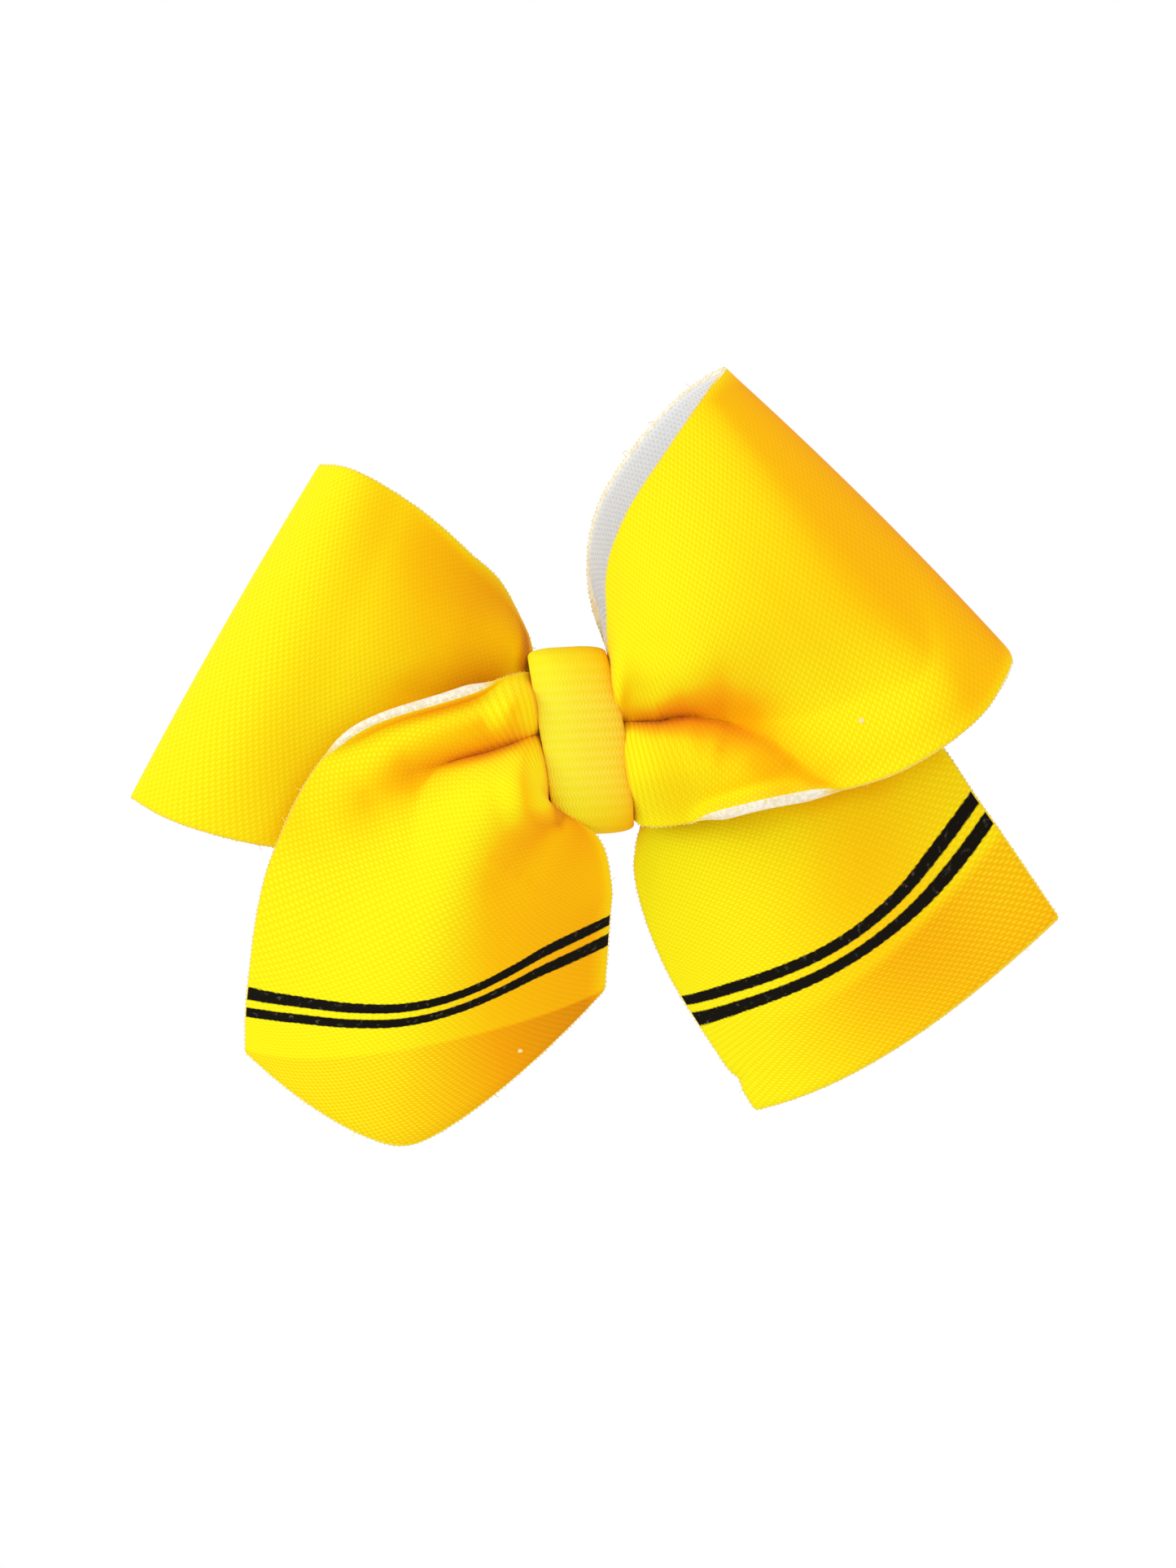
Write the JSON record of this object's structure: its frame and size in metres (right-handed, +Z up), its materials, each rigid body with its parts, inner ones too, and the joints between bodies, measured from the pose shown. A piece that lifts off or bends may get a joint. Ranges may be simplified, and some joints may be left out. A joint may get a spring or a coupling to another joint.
{
  "type": "hair bow",
  "caption": "Double-loop hair bow folded from one wide knit strip, gathered under a padded centre wrap, on a sprung toothed alligator clip.",
  "frame": {"origin": "midway between the closed jaws of the clip, straight behind the knot", "axes": "+X to the right seen from the front, +Y from the front of the bow into the hair, +Z up as worn"},
  "size_m": [0.1289, 0.0426, 0.1073],
  "materials": {
    "printed_knit": "matt double knit, printed yellow outside with a double black stripe at each end, white inside",
    "wrap_knit": "matt knit, plain yellow",
    "thread": "matt",
    "hot_glue": "milky and glossy",
    "ribbon": "matt grosgrain",
    "clip_steel": "nickel plated",
    "spring_steel": "bright drawn wire"
  },
  "bodies": {
    "bow": {"bow_strip": "printed_knit", "centre_wrap": "wrap_knit", "gathering_thread": "thread", "wrap_glue": "hot_glue", "clip_glue": "hot_glue", "clip_lining": "ribbon", "clip_top_jaw": "clip_steel", "pivot_pin": "clip_steel", "torsion_spring": "spring_steel"},
    "jaw": {"clip_lower_jaw": "clip_steel"}
  },
  "joints": [
    {"name": "jaw_hinge", "type": "hinge", "parent": "bow", "child": "jaw", "pos_m": [0.009, 0.0016, 0], "axis": [0, 0, -1], "range_deg": [0, 30], "stiffness_Nm_per_rad": 0.09, "springref_deg": -40.11, "deforming": ["torsion_spring"]}
  ]
}
